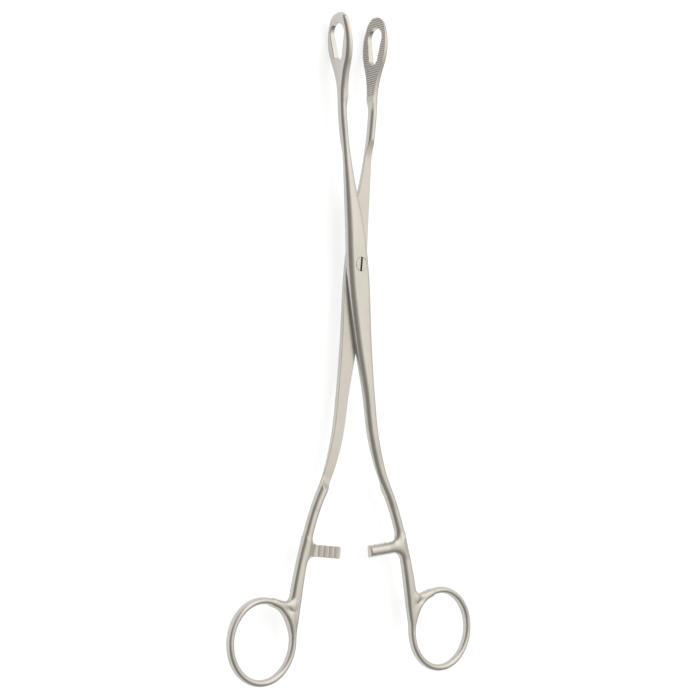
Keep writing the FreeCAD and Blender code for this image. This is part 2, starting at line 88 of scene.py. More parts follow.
def meetRound(first, second, radius):
    # Intersection whose edge is an arc: the larger field, or the arc's distance near the edge
    corner = np.hypot(np.maximum(first + radius, 0), np.maximum(second + radius, 0))
    return np.minimum(np.maximum(first, second), -radius) + corner


def joinFillet(first, second, radius):
    # Union with a hollow fillet: the smaller field, or the fillet arc's distance near the corner
    corner = np.hypot(np.maximum(radius - first, 0), np.maximum(radius - second, 0))
    return np.maximum(np.minimum(first, second), radius) - corner


def roundedProfile(across, up, halfWidth, halfDepth, corner):
    # Rectangle with round corners: distance to the inner rectangle, less the corner radius
    outX = np.abs(across) - halfWidth + corner
    outY = np.abs(up) - halfDepth + corner
    outside = np.hypot(np.maximum(outX, 0), np.maximum(outY, 0))
    return np.minimum(np.maximum(outX, outY), 0) + outside - corner


def ovalProfile(across, up, halfWidth, halfDepth):
    # Ellipse: scaled radius k, and k (k - 1) over its gradient as the distance
    scaled = np.hypot(across / halfWidth, up / halfDepth)
    slope = np.hypot(across / halfWidth ** 2, up / halfDepth ** 2)
    return scaled * (scaled - 1) / np.maximum(slope, 1e-6)


def through(stations, column, at):
    # Smooth cubic through the stations: each span is a Hermite curve with the slopes of its neighbours
    table = np.array(stations, float)
    table = table[np.argsort(table[:, 0])]
    places = table[:, 0]
    levels = table[:, column]
    slopes = np.gradient(levels, places)
    span = np.clip(np.searchsorted(places, at) - 1, 0, len(places) - 2)
    length = places[span + 1] - places[span]
    t = np.clip((at - places[span]) / length, 0, 1)
    rise = levels[span + 1] - levels[span]
    start = slopes[span] * length
    end = slopes[span + 1] * length
    curve = t * start + t ** 2 * (3 * rise - 2 * start - end) + t ** 3 * (start + end - 2 * rise)
    return levels[span] + curve


# Steps of the skinning: grid rows worked out at once, lengths in millimetres
skinning = {"slab": 48, "slopeReach": 0.02, "draws": 3, "leastSlope": 0.2, "longestMove": 0.1}


def skinOf(field, gridX, gridY, gridZ):
    # Skin of a field on a grid: one point in each cell that the zero level crosses, at the mean of the
    # crossings on the cell's edges, and one square face round each grid edge that the level crosses.
    # The points are then drawn onto the zero level along the field's slope, which also gives the normals.
    axes = [np.asarray(g, float) for g in (gridX, gridY, gridZ)]
    slabs = []
    for start in range(0, len(axes[1]), skinning["slab"]):
        rows = axes[1][start:start + skinning["slab"]]
        part = field(axes[0][:, None, None], rows[None, :, None], axes[2][None, None, :])
        slabs.append(part.astype(np.float32))
    values = np.concatenate(slabs, axis=1)
    inside = values < 0
    shape = np.array(values.shape) - 1
    count = np.zeros(shape, np.int8)
    offsets = np.array([(i, j, k) for i in (0, 1) for j in (0, 1) for k in (0, 1)])
    for i, j, k in offsets:
        count += inside[i:i + shape[0], j:j + shape[1], k:k + shape[2]]
    cells = np.argwhere((count > 0) & (count < 8))
    number = np.full(shape, -1, np.int64)
    number[tuple(cells.T)] = np.arange(len(cells))

    total = np.zeros((len(cells), 3))
    hits = np.zeros(len(cells))
    for axis in range(3):
        step = np.eye(3, dtype=int)[axis]
        for offset in offsets[offsets[:, axis] == 0]:
            near = cells + offset
            far = near + step
            a = values[tuple(near.T)].astype(float)
            b = values[tuple(far.T)].astype(float)
            crossed = (a < 0) != (b < 0)
            t = np.where(crossed, a / np.where(crossed, a - b, 1), 0)
            low = np.stack([axes[d][near[:, d]] for d in range(3)], axis=1)
            high = np.stack([axes[d][far[:, d]] for d in range(3)], axis=1)
            total += (low + (high - low) * t[:, None]) * crossed[:, None]
            hits += crossed
    points = total / hits[:, None]

    faces = []
    for axis in range(3):
        one, two = [d for d in range(3) if d != axis]
        low = [slice(1, -1)] * 3
        low[axis] = slice(0, -1)
        high = [slice(1, -1)] * 3
        high[axis] = slice(1, None)
        before = inside[tuple(low)]
        after = inside[tuple(high)]
        edges = np.argwhere(before != after)
        leaving = before[tuple(edges.T)]
        edges = edges + 1
        edges[:, axis] -= 1
        ring = []
        for a, b in ((0, 0), (1, 0), (1, 1), (0, 1)):
            cell = edges.copy()
            cell[:, one] -= a
            cell[:, two] -= b
            ring.append(number[tuple(cell.T)])
        quad = np.stack(ring, axis=1)
        flip = leaving if axis == 1 else ~leaving
        quad[flip] = quad[flip][:, ::-1]
        faces.append(quad)
    faces = np.concatenate(faces)

    def slopeAt(p):
        reach = skinning["slopeReach"]
        columns = []
        for axis in range(3):
            shift = np.eye(3)[axis] * reach
            ahead = field(*(p + shift).T)
            behind = field(*(p - shift).T)
            columns.append((ahead - behind) / (2 * reach))
        return np.stack(columns, axis=1)

    for _ in range(skinning["draws"]):
        slope = slopeAt(points)
        size = np.maximum((slope ** 2).sum(axis=1), skinning["leastSlope"])
        move = slope * (field(*points.T) / size)[:, None]
        length = np.linalg.norm(move, axis=1, keepdims=True)
        points = points - move * np.minimum(1, skinning["longestMove"] / np.maximum(length, 1e-9))
    normals = slopeAt(points)
    normals /= np.maximum(np.linalg.norm(normals, axis=1, keepdims=True), 1e-9)
    return points, faces, normals


def hollowOf(field, points, normals, reach):
    # How hollow the skin is: 0 where it is flat or bulging, 1 where walls stand close outside it
    return np.clip(1 - field(*(points + normals * reach).T) / reach, 0, 1)


def edgeOf(field, points, normals, reach):
    # How sharp an edge is: 0 on flat skin, up to 1 where other sides meet just beneath it
    return np.clip(1 + field(*(points - normals * reach).T) / reach, 0, 1)


def meshPiece(name, points, faces, normals, placement, material, shadeGrime, wear):
    # Puts worked-out points into a mesh in place, in metres, with smooth shading from the field's slope
    turn = np.array(placement.to_3x3())
    place = points * mm @ turn.T + np.array(placement.translation)
    mesh = bpy.data.meshes.new(name)
    mesh.vertices.add(len(place))
    mesh.vertices.foreach_set("co", place.astype(np.float32).ravel())
    mesh.loops.add(faces.size)
    mesh.loops.foreach_set("vertex_index", faces.astype(np.int32).ravel())
    mesh.polygons.add(len(faces))
    mesh.polygons.foreach_set("loop_start", np.arange(0, faces.size, 4, dtype=np.int32))
    mesh.polygons.foreach_set("use_smooth", np.ones(len(faces), bool))
    mesh.update(calc_edges=True)
    mesh.normals_split_custom_set_from_vertices((normals @ turn.T).tolist())
    mesh.materials.append(material)
    # the first attribute carries painted shade with grime in hollows, the second the rubbed edges
    for label, levels in (("shadeGrime", shadeGrime), ("wear", wear)):
        attribute = mesh.attributes.new(label, "FLOAT", "POINT")
        attribute.data.foreach_set("value", levels.astype(np.float32))
    piece = bpy.data.objects.new(name, mesh)
    bpy.context.scene.collection.objects.link(piece)
    return piece


# Sizes and strengths of the satin effect
satinEffect = {
    "stainScale": 90.0, "lineScale": 2600.0, "grainScale": 5200.0, "lineStretch": 0.06,
    "stainFrom": 0.35, "stainTo": 0.65,  # noise levels between which the tone changes
    "stainShare": 0.65, "lineShare": 0.35,
    "spread": 0.10,  # roughness that the stains add, half of which is taken off beforehand
    "hollowRoughness": 0.3,
    "bumpHeight": 0.02 * mm,
}


def newGroup(name, inputs, outputs):
    group = bpy.data.node_groups.new(name, "ShaderNodeTree")
    for label, kind, value in inputs:
        socket = group.interface.new_socket(name=label, in_out="INPUT", socket_type=kind)
        socket.default_value = value
    for label, kind in outputs:
        group.interface.new_socket(name=label, in_out="OUTPUT", socket_type=kind)
    return group, group.nodes.new("NodeGroupInput"), group.nodes.new("NodeGroupOutput")


def addNode(tree, kind, values=(), **settings):
    node = tree.nodes.new(kind)
    for key, value in settings.items():
        setattr(node, key, value)
    for key, value in values:
        node.inputs[key].default_value = value
    return node


def makeSatinGroup():
    # Satin finish: fine blasted grain, faint polishing lines along the piece, soft stains of tone, rubbed
    # edges, and painted shade with grime in hollows
    group, source, result = newGroup(
        "satinFinish",
        [("Light", "NodeSocketColor", (1, 1, 1, 1)), ("Dark", "NodeSocketColor", (0, 0, 0, 1)),
         ("GrimeShade", "NodeSocketColor", (0, 0, 0, 1)), ("Worn", "NodeSocketColor", (1, 1, 1, 1)),
         ("Roughness", "NodeSocketFloat", 0.3), ("Polished", "NodeSocketFloat", 0.15),
         ("Polish", "NodeSocketFloat", 0.0), ("Relief", "NodeSocketFloat", 0.1)],
        [("Color", "NodeSocketColor"), ("Roughness", "NodeSocketFloat"), ("Normal", "NodeSocketVector")])
    link = group.links.new
    place = addNode(group, "ShaderNodeTexCoord")
    stretched = addNode(group, "ShaderNodeMapping", [("Scale", (1.0, satinEffect["lineStretch"], 1.0))])
    link(place.outputs["Object"], stretched.inputs["Vector"])
    stains = addNode(group, "ShaderNodeTexNoise",
                     [("Scale", satinEffect["stainScale"]), ("Detail", 4.0), ("Roughness", 0.55)])
    link(place.outputs["Object"], stains.inputs["Vector"])
    lines = addNode(group, "ShaderNodeTexNoise",
                    [("Scale", satinEffect["lineScale"]), ("Detail", 3.0), ("Roughness", 0.6)])
    link(stretched.outputs["Vector"], lines.inputs["Vector"])
    grain = addNode(group, "ShaderNodeTexNoise",
                    [("Scale", satinEffect["grainScale"]), ("Detail", 2.0), ("Roughness", 0.6)])
    link(place.outputs["Object"], grain.inputs["Vector"])
    tone = addNode(group, "ShaderNodeMapRange",
                   [("From Min", satinEffect["stainFrom"]), ("From Max", satinEffect["stainTo"])])
    link(stains.outputs["Fac"], tone.inputs["Value"])
    lineTone = addNode(group, "ShaderNodeMath", [(1, satinEffect["lineShare"])], operation="MULTIPLY")
    link(lines.outputs["Fac"], lineTone.inputs[0])
    blend = addNode(group, "ShaderNodeMath", [(1, satinEffect["stainShare"])], operation="MULTIPLY_ADD")
    link(tone.outputs["Result"], blend.inputs[0])
    link(lineTone.outputs[0], blend.inputs[2])
    colour = addNode(group, "ShaderNodeMix", data_type="RGBA")
    link(blend.outputs[0], colour.inputs["Factor"])
    link(source.outputs["Dark"], colour.inputs["A"])
    link(source.outputs["Light"], colour.inputs["B"])
    hollow = addNode(group, "ShaderNodeAttribute", attribute_name="shadeGrime")
    edge = addNode(group, "ShaderNodeAttribute", attribute_name="wear")
    rubbed = addNode(group, "ShaderNodeMix", data_type="RGBA")
    link(edge.outputs["Fac"], rubbed.inputs["Factor"])
    link(colour.outputs["Result"], rubbed.inputs["A"])
    link(source.outputs["Worn"], rubbed.inputs["B"])
    # painted shade: hollows are darkened towards the dark hollow colour, partly grime and partly painted
    # shade
    shadeGrimeMix = addNode(group, "ShaderNodeMix", data_type="RGBA")
    link(hollow.outputs["Fac"], shadeGrimeMix.inputs["Factor"])
    link(rubbed.outputs["Result"], shadeGrimeMix.inputs["A"])
    link(source.outputs["GrimeShade"], shadeGrimeMix.inputs["B"])
    link(shadeGrimeMix.outputs["Result"], result.inputs["Color"])
    finish = addNode(group, "ShaderNodeMix", data_type="FLOAT")
    link(source.outputs["Polish"], finish.inputs["Factor"])
    link(source.outputs["Roughness"], finish.inputs["A"])
    link(source.outputs["Polished"], finish.inputs["B"])
    uneven = addNode(group, "ShaderNodeMath", [(1, satinEffect["spread"])], operation="MULTIPLY_ADD")
    link(stains.outputs["Fac"], uneven.inputs[0])
    link(finish.outputs["Result"], uneven.inputs[2])
    dull = addNode(group, "ShaderNodeMath", [(1, satinEffect["hollowRoughness"])], operation="MULTIPLY_ADD")
    link(hollow.outputs["Fac"], dull.inputs[0])
    link(uneven.outputs[0], dull.inputs[2])
    link(dull.outputs[0], result.inputs["Roughness"])
    height = addNode(group, "ShaderNodeMath", operation="ADD")
    link(lines.outputs["Fac"], height.inputs[0])
    link(grain.outputs["Fac"], height.inputs[1])
    bump = addNode(group, "ShaderNodeBump", [("Distance", satinEffect["bumpHeight"])])
    link(source.outputs["Relief"], bump.inputs["Strength"])
    link(height.outputs[0], bump.inputs["Height"])
    link(bump.outputs["Normal"], result.inputs["Normal"])
    return group


satinGroup = makeSatinGroup()


def makeSteel(name, finish, polishAlong):
    # Satin steel whose jaws are brighter: the polish grows with the place along the forceps
    material = bpy.data.materials.new(name)
    material.use_nodes = True
    tree = material.node_tree
    link = tree.links.new
    shader = tree.nodes["Principled BSDF"]
    shader.inputs["Metallic"].default_value = 1.0
    satin = addNode(tree, "ShaderNodeGroup", node_tree=satinGroup)
    satin.inputs["Light"].default_value = (*finish["light"], 1)
    satin.inputs["Dark"].default_value = (*finish["dark"], 1)
    satin.inputs["GrimeShade"].default_value = (*finish["shadeGrime"], 1)
    satin.inputs["Worn"].default_value = (*finish["worn"], 1)
    satin.inputs["Roughness"].default_value = finish["roughness"] - satinEffect["spread"] / 2
    satin.inputs["Polished"].default_value = finish["polishedRoughness"] - satinEffect["spread"] / 2
    satin.inputs["Relief"].default_value = finish["relief"]
    if polishAlong:
        place = addNode(tree, "ShaderNodeTexCoord")
        parts = addNode(tree, "ShaderNodeSeparateXYZ")
        link(place.outputs["Object"], parts.inputs[0])
        polish = addNode(tree, "ShaderNodeMapRange",
                         [("From Min", finish["jawFrom"]), ("From Max", finish["jawTo"])])
        link(parts.outputs["Y"], polish.inputs["Value"])
        link(polish.outputs["Result"], satin.inputs["Polish"])
    link(satin.outputs["Color"], shader.inputs["Base Color"])
    link(satin.outputs["Roughness"], shader.inputs["Roughness"])
    link(satin.outputs["Normal"], shader.inputs["Normal"])
    return material


halfSteel = makeSteel("satinSteel", steelFinish, True)
screwSteel = makeSteel("screwSteel", steelFinish, False)
print("materials made")


# One forging, drawn closed: Y to the jaws, Z away from the other half, the lap plane at Z = 0
forging = {
    "openAngle": 5.5,
    # along, centre, width, depth, corner
    "bar": [
        (67, -1.8, 2.2, 3.0, 1.0), (58, -2.25, 3.0, 3.3, 1.3), (44, -2.0, 3.1, 3.4, 1.3),
        (31, -1.65, 4.7, 4.8, 1.6), (15, -0.5, 8.3, 5.9, 2.1), (-1, -0.2, 10.2, 6.0, 2.2),
        (-30, 0.1, 7.6, 6.0, 2.0), (-48, 1.15, 5.2, 5.8, 1.8), (-66, 2.4, 4.7, 5.4, 1.7),
        (-80, 5.95, 4.5, 4.2, 1.7), (-90, 10.2, 4.1, 3.9, 1.8), (-104, 14.1, 4.0, 3.8, 1.8),
        (-127, 17.4, 5.0, 3.8, 1.7), (-131.5, 17.7, 5.0, 3.6, 1.6), (-140, 17.0, 1.6, 2.6, 0.7),
    ],
    "crown": 0.075,  # fall of the faces at their edges, against the half width
    "endRound": 0.5,
    "lapTo": 39, "lapGap": 0.02, "edge": 0.22,
    "lapSteepness": 0.95,  # makes the dipping lap's field grow like a distance
    "jawCutter": 22, "cutterShare": 0.9,  # radius of the cutter's arc, and how much of it is used
    "flatHalf": 13, "flatHeight": 2.9, "flatRound": 0.1, "jawFillet": 0.5,
    "ringCentre": (31.8, -141.6), "ringRadius": 14.85, "ringHalfWidth": 1.25, "ringHalfDepth": 1.85,
    # the fillet between ring and bar grows from the splice to the web
    "spliceFillet": 0.4, "webFillet": 2.6, "webFrom": -138.0, "webLength": 9.0,
    # how far fillets may stand above the bar's faces, and where that room grows by a millimetre
    "webRoom": 0.38, "webRound": 0.9, "roomFrom": -93.0, "roomLength": 5.0,
    # straight upper edge of the web, from the ring's top to the handle: across and along at both ends
    "bridge": ((27.5, -127.2), (20.2, -127.9)), "bridgeHalf": 1.3, "bridgeDepth": 1.6,
    # dip before the shoulder where the bar thickens: from, to, depth
    "scoop": (-69.0, -82.0, 0.3),
    # the shoulder: its place at the bar's middle, its slope over the depth and over the width, its fillet
    "shoulder": (-82.6, 1.4, 0.5), "shoulderMiddle": 7.1, "shoulderFillet": 1.6,
}

jaw = {
    "tip": 93.9, "widest": 83.0, "halfWidth": 6.0, "sideRadius": 21.5, "hollowRadius": 40.0, "neckHalf": 1.7,
    # along, face, back
    "sides": [(54, -0.9, -3.4), (60, -0.5, -3.35), (64, -0.07, -3.3), (66, -0.05, -3.25), (75, -0.05, -3.0),
              (83, -0.05, -2.7), (90, -0.05, -2.3), (95, -0.05, -1.9)],
    "windowTop": 89.8, "windowRadius": 3.7, "windowBottom": 75.8, "windowLowRadius": 2.2,
    "backRound": 1.7, "faceRound": 0.07, "windowRound": 0.35, "foot": 58.0,
    "faceSteepness": 0.82,  # makes the grooved face's field grow like a distance
    "fadeFrom": 63.0, "fadeLength": 5.0, "fadeDepth": 0.7,
    "grooveFirst": 64.2, "groovePitch": 0.85, "grooveDepth": 0.4, "grooveCount": 35, "grooveSlant": 0.1,
}

arm = {
    "along": -107.3, "tip": -3.6, "root": 12.9, "halfWidth": 2.3, "height": 2.75, "gap": 0.1,
    "rootHeight": 1.9, "thinFrom": 6.0, "thinLength": 6.0, "tipRound": 0.8, "reach": 9.0,
    "toothStart": 0.6, "toothPitch": 2.7, "toothDepth": 0.9, "toothLand": 0.5, "toothCount": 4,
    "toothRound": 0.12, "fillet": 3.8,
}


def barField(x, y, z):
    # Rounded profile with crowned faces, carried along the bar's line, its sizes read at each place along Y
    rows = forging["bar"]
    centre = through(rows, 1, y)
    lean = through(rows, 1, y + 0.5) - through(rows, 1, y - 0.5)
    upright = 1 / np.sqrt(1 + lean ** 2)
    halfWidth = through(rows, 2, y) / 2
    crown = forging["crown"] * np.minimum(1, np.abs(x - centre) / halfWidth) ** 2 * halfWidth
    body = roundedProfile((x - centre) * upright, np.abs(z) + crown, halfWidth * upright,
                          through(rows, 3, y) / 2, through(rows, 4, y))
    ends = np.maximum(y - rows[0][0], rows[-1][0] - y)
    return meetRound(body, ends, forging["endRound"])


def jawOutline(along, across):
    # Egg outline of tangent arcs: round tip, bulging sides, hollow sides into the neck
    side = jaw["sideRadius"]
    drop = side - jaw["halfWidth"]
    inner = side - (jaw["tip"] - jaw["widest"])
    tipCentre = jaw["widest"] + (drop ** 2 - inner ** 2) / (2 * inner)
    rise = jaw["neckHalf"] + jaw["hollowRadius"] + drop
    reach = math.sqrt((side + jaw["hollowRadius"]) ** 2 - rise ** 2)
    out = np.abs(across)
    tipArc = np.hypot(along - tipCentre, out) - (jaw["tip"] - tipCentre)
    sideArc = np.hypot(along - jaw["widest"], out + drop) - side
    toCentre = out - jaw["neckHalf"] - jaw["hollowRadius"]
    hollowArc = jaw["hollowRadius"] - np.hypot(along - jaw["widest"] + reach, toCentre)
    pastTip = (along - jaw["widest"]) * drop > (tipCentre - jaw["widest"]) * (out + drop)
    pastSide = (along - jaw["widest"]) * rise < -reach * (out + drop)
    neck = out - jaw["neckHalf"]
    hollow = np.where(along < jaw["widest"] - reach, neck, hollowArc)
    return np.where(pastTip, tipArc, np.where(pastSide, hollow, sideArc))


def windowOutline(along, across):
    # Teardrop: distance to a cone with a large round end and a small one
    small = jaw["windowLowRadius"]
    large = jaw["windowRadius"]
    base = jaw["windowBottom"] + small
    height = jaw["windowTop"] - large - base
    lean = (small - large) / height
    upright = math.sqrt(1 - lean ** 2)
    p = np.abs(across)
    q = along - base
    where = upright * q - lean * p
    cone = p * upright + q * lean - small
    return np.where(where < 0, np.hypot(p, q) - small,
                    np.where(where > upright * height, np.hypot(p, q - height) - large, cone))


def jawField(x, y, z):
    # Egg plate with a window: flat serrated face towards the other jaw, rounded arched back
    sides = jaw["sides"]
    turns = (y + jaw["grooveSlant"] * z - jaw["grooveFirst"]) / jaw["groovePitch"]
    groove = np.maximum(0, 1 - 2 * np.abs(turns - np.round(turns))) * jaw["grooveDepth"]
    groove = np.where((turns > -0.5) & (turns < jaw["grooveCount"] - 0.5), groove, 0)
    face = (x - through(sides, 1, y) + groove) * jaw["faceSteepness"]
    back = through(sides, 2, y) - x
    body = meetRound(jawOutline(y, z), back, jaw["backRound"])
    body = meetRound(body, -windowOutline(y, z), jaw["windowRound"])
    body = meetRound(body, face, jaw["faceRound"])
    fade = np.clip((jaw["fadeFrom"] - y) / jaw["fadeLength"], 0, 1) ** 2 * jaw["fadeDepth"]
    return np.maximum(body + fade, jaw["foot"] - y)


def ringField(x, y, z):
    # Oval profile carried round a circle
    centreX, centreY = forging["ringCentre"]
    out = np.hypot(x - centreX, y - centreY) - forging["ringRadius"]
    ring = ovalProfile(out, z, forging["ringHalfWidth"], forging["ringHalfDepth"])
    (startX, startY), (endX, endY) = forging["bridge"]
    runX = endX - startX
    runY = endY - startY
    along = np.clip(((x - startX) * runX + (y - startY) * runY) / (runX ** 2 + runY ** 2), 0, 1)
    off = np.hypot(x - startX - along * runX, y - startY - along * runY)
    bridge = ovalProfile(off, z, forging["bridgeHalf"], forging["bridgeDepth"])
    return joinFillet(ring, bridge, forging["bridgeHalf"])


def armHeight(x):
    # The arm thins from its toothed part to its root in the bar
    thinning = np.clip((x - arm["thinFrom"]) / arm["thinLength"], 0, 1)
    return arm["height"] + (arm["rootHeight"] - arm["height"]) * thinning


def armField(x, y, z):
    # Half-round bar with a rounded tip; its flat side is notched by a row of saw teeth
    side = y - arm["along"]
    bar = ovalProfile(side, z, arm["halfWidth"], armHeight(x))
    tipped = meetRound(bar, arm["tip"] - x, arm["tipRound"])
    body = np.maximum(tipped, x - arm["root"])
    run = x - arm["tip"] - arm["toothStart"]
    pitch = arm["toothPitch"]
    t = run - np.floor(run / pitch) * pitch
    slope = arm["toothDepth"] / (pitch - arm["toothLand"])
    steepness = 1 / math.hypot(1, slope)
    ramp = (z - arm["gap"] - np.maximum(t - arm["toothLand"], 0) * slope) * steepness
    notch = np.minimum(np.maximum(ramp, t - pitch), np.maximum(t, z - arm["gap"] - arm["toothDepth"]))
    toothed = (run > 0) & (run < arm["toothCount"] * pitch)
    flat = np.where(toothed, notch, z - arm["gap"])
    return meetRound(body, -flat, arm["toothRound"])


def lapField(x, y, z):
    # Room of the other half: below the lap plane, which runs out along a cutter's arc towards the jaw
    # and dips towards the rings, where it ends at a slanting shoulder with a hollow fillet
    pastJaw = np.clip(y - forging["lapTo"], 0, forging["jawCutter"] * forging["cutterShare"])
    rise = forging["jawCutter"] - np.sqrt(forging["jawCutter"] ** 2 - pastJaw ** 2)
    start, end, depth = forging["scoop"]
    dip = depth * np.clip((y - start) / (end - start), 0, 1) ** 2
    face = (forging["lapGap"] - rise + dip - z) * forging["lapSteepness"]
    place, deepSlope, wideSlope = forging["shoulder"]
    steepness = 1 / math.sqrt(1 + deepSlope ** 2 + wideSlope ** 2)
    slant = deepSlope * z + wideSlope * (x - forging["shoulderMiddle"])
    shoulder = (y - place - slant) * steepness
    return joinFillet(face, shoulder, forging["shoulderFillet"])


def forgingField(x, y, z):
    # Bar, ring and arm joined by fillets and held to the bar's depth, then the jaw, the lap and the flat
    web = np.clip((y - forging["webFrom"]) / forging["webLength"], 0, 1)
    fillet = forging["spliceFillet"] + (forging["webFillet"] - forging["spliceFillet"]) * web
    body = joinFillet(barField(x, y, z), ringField(x, y, z), fillet)
    body = joinFillet(body, armField(x, y, z), arm["fillet"])
    halfDepth = through(forging["bar"], 3, y) / 2
    atArm = np.abs(y - arm["along"]) < arm["reach"]
    halfDepth = np.where(atArm, np.maximum(halfDepth, armHeight(x)), halfDepth)
    room = forging["webRoom"] + np.clip((y - forging["roomFrom"]) / forging["roomLength"], 0, 1)
    body = meetRound(body, np.abs(z) - halfDepth - room, forging["webRound"])
    body = joinFillet(body, jawField(x, y, z), forging["jawFillet"])
    body = meetRound(body, lapField(x, y, z), forging["edge"])
    farBelow = -1.0
    above = np.where(np.abs(y) < forging["flatHalf"], z - forging["flatHeight"], farBelow)
    return meetRound(body, above, forging["flatRound"])


screw = {
    "shank": 1.6, "head": 2.6, "headHeight": 1.3, "top": 2.9, "slotHalf": 0.425, "slotDepth": 0.8,
    "clearance": 0.04, "rim": 0.03, "seatRound": 0.03, "slotRound": 0.06,
    "shankShort": 0.02, "boreRoom": 0.005, "boreRound": 0.06,
    "gridStep": 0.08, "gridHalf": 2.8, "gridHalfHeight": 3.1,
}


def screwField(x, y, z):
    # Round head flush with the flat, plain shank, and a driver slot across the head
    radius = np.hypot(x, y)
    underside = screw["top"] - screw["headHeight"] + screw["clearance"]
    head = meetRound(radius - screw["head"], np.maximum(z - screw["top"], underside - z), screw["rim"])
    shank = np.maximum(radius - screw["shank"], np.abs(z) - screw["top"] + screw["shankShort"])
    body = np.minimum(head, shank)
    slot = np.maximum(np.abs(x) - screw["slotHalf"], screw["top"] - screw["slotDepth"] - z)
    return meetRound(body, -slot, screw["slotRound"])


def frontField(x, y, z):
    # The front half has the screw's clearance hole and the seat of its head
    radius = np.hypot(x, y)
    seat = np.maximum(radius - screw["head"] - screw["clearance"], screw["top"] - screw["headHeight"] - z)
    hole = np.minimum(radius - screw["shank"] - screw["clearance"], seat)
    return meetRound(forgingField(x, y, z), -hole, screw["seatRound"])


def rearField(x, y, z):
    # The rear half has the screw's own hole
    hole = np.hypot(x, y) - screw["shank"] - screw["boreRoom"]
    return meetRound(forgingField(x, y, z), -hole, screw["boreRound"])


# Grid steps as from, to, step: finer along the serrated jaw, coarser along the plain shank
forgingSteps = {
    "across": [(-5.6, -0.6, 0.22), (-0.54, 0.12, 0.1), (0.28, 5.5, 0.22), (5.51, 48.9, 0.28)],
    "along": [(-158.5, -82, 0.3), (-82, -60, 0.32), (-60, -5, 0.5), (-5, 5, 0.25), (5, 58, 0.5),
              (58, 63.4, 0.25), (63.4, 94.4, 0.116)],
    "up": [(-6.4, -3.2, 0.27), (-3.16, 3.2, 0.22), (3.4, 6.6, 0.27)],
}


def gridLine(rows):
    # Each row stops a step short of its end, where the next one begins
    return np.concatenate([np.arange(start, end - step / 2, step) for start, end, step in rows])


forgingGrid = [gridLine(forgingSteps[way]) for way in ("across", "along", "up")]

# Painted shade with grime in hollows, and rubbed edges: how far the field is read, in millimetres, and how
# strong they are
ageing = {
    "deepReach": 1.2, "deepShadeGrime": 0.5, "fineReach": 0.35, "fineShadeGrime": 0.95, "edgeReach": 0.25,
    "screwEdgeReach": 0.2, "slotRoom": 0.04, "slotDepth": 0.25, "slotShadeGrime": 0.75,
}

swing = math.radians(forging["openAngle"])
lift = Matrix.Translation((0, 0, lapHeight))
frontPlace = lift @ Matrix.Rotation(swing, 4, "Z")
rearPlace = lift @ Matrix.Rotation(-swing, 4, "Z") @ Matrix.Rotation(math.pi, 4, "Y")
screwPlace = lift @ Matrix.Rotation(-swing, 4, "Z")

for name, field, place, body in (("frontForging", frontField, frontPlace, "front"),
                                 ("rearForging", rearField, rearPlace, "rear")):
    points, faces, normals = skinOf(field, *forgingGrid)
    # painted shade: deep and fine hollows, such as the shoulder and the jaw grooves, get the dark colour,
    # partly grime and partly painted shade
    deep = ageing["deepShadeGrime"] * hollowOf(field, points, normals, ageing["deepReach"])
    fine = ageing["fineShadeGrime"] * hollowOf(field, points, normals, ageing["fineReach"])
    wear = edgeOf(field, points, normals, ageing["edgeReach"])
    piece = meshPiece(name, points, faces, normals, place, halfSteel, np.maximum(deep, fine), wear)
    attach(piece, body)
    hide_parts(body + "_half")
    print(name, "made:", len(faces) * 2, "triangles")

step = screw["gridStep"]
steps = np.arange(-screw["gridHalf"], screw["gridHalf"] + step / 8, step)
upSteps = np.arange(-screw["gridHalfHeight"], screw["gridHalfHeight"] + step / 8, step)
points, faces, normals = skinOf(screwField, steps, steps, upSteps)
# painted shade: the screw's slot gets darker the deeper it goes, towards the dark hollow colour, partly
# grime and partly painted shade
inSlot = (np.abs(points[:, 0]) < screw["slotHalf"] + ageing["slotRoom"]) & (points[:, 2] > 0)
below = (screw["top"] - points[:, 2]) / ageing["slotDepth"]
slotShadeGrime = np.where(inSlot, np.clip(below, 0, ageing["slotShadeGrime"]), 0)
screwWear = edgeOf(screwField, points, normals, ageing["screwEdgeReach"])
screwPiece = meshPiece("slottedScrew", points, faces, normals, screwPlace, screwSteel, slotShadeGrime, screwWear)
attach(screwPiece, "rear")
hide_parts("joint_screw")
print("screw made:", len(faces) * 2, "triangles")


# White paper: it glows by itself in the picture, and less in what the steel mirrors
paper = {
    "half": 3.0,  # metres
    "below": 0.05 * mm,
    "colour": (0.86, 0.885, 0.93),
    "roughness": 0.9,
    "seenGlow": 0.62,
    "mirroredGlow": 0.32,
}


def makeStage():
    size = paper["half"]
    low = cadBounds[0][2] - paper["below"]
    mesh = bpy.data.meshes.new("floor")
    mesh.from_pydata([(-size, -size, low), (size, -size, low), (size, size, low), (-size, size, low)], [],
                     [(0, 1, 2, 3)])
    floor = bpy.data.objects.new("floor", mesh)
    bpy.context.scene.collection.objects.link(floor)
    material = bpy.data.materials.new("paper")
    material.use_nodes = True
    tree = material.node_tree
    shader = tree.nodes["Principled BSDF"]
    shader.inputs["Base Color"].default_value = (*paper["colour"], 1)
    shader.inputs["Roughness"].default_value = paper["roughness"]
    shader.inputs["Specular IOR Level"].default_value = 0.0
    path = addNode(tree, "ShaderNodeLightPath")
    mirrored = addNode(tree, "ShaderNodeMath", [(1, paper["mirroredGlow"])], operation="MULTIPLY")
    tree.links.new(path.outputs["Is Glossy Ray"], mirrored.inputs[0])
    glow = addNode(tree, "ShaderNodeMath", [(1, paper["seenGlow"])], operation="MULTIPLY_ADD")
    tree.links.new(path.outputs["Is Camera Ray"], glow.inputs[0])
    tree.links.new(mirrored.outputs[0], glow.inputs[2])
    shader.inputs["Emission Color"].default_value = (1, 1, 1, 1)
    tree.links.new(glow.outputs[0], shader.inputs["Emission Strength"])
    mesh.materials.append(material)


makeStage()

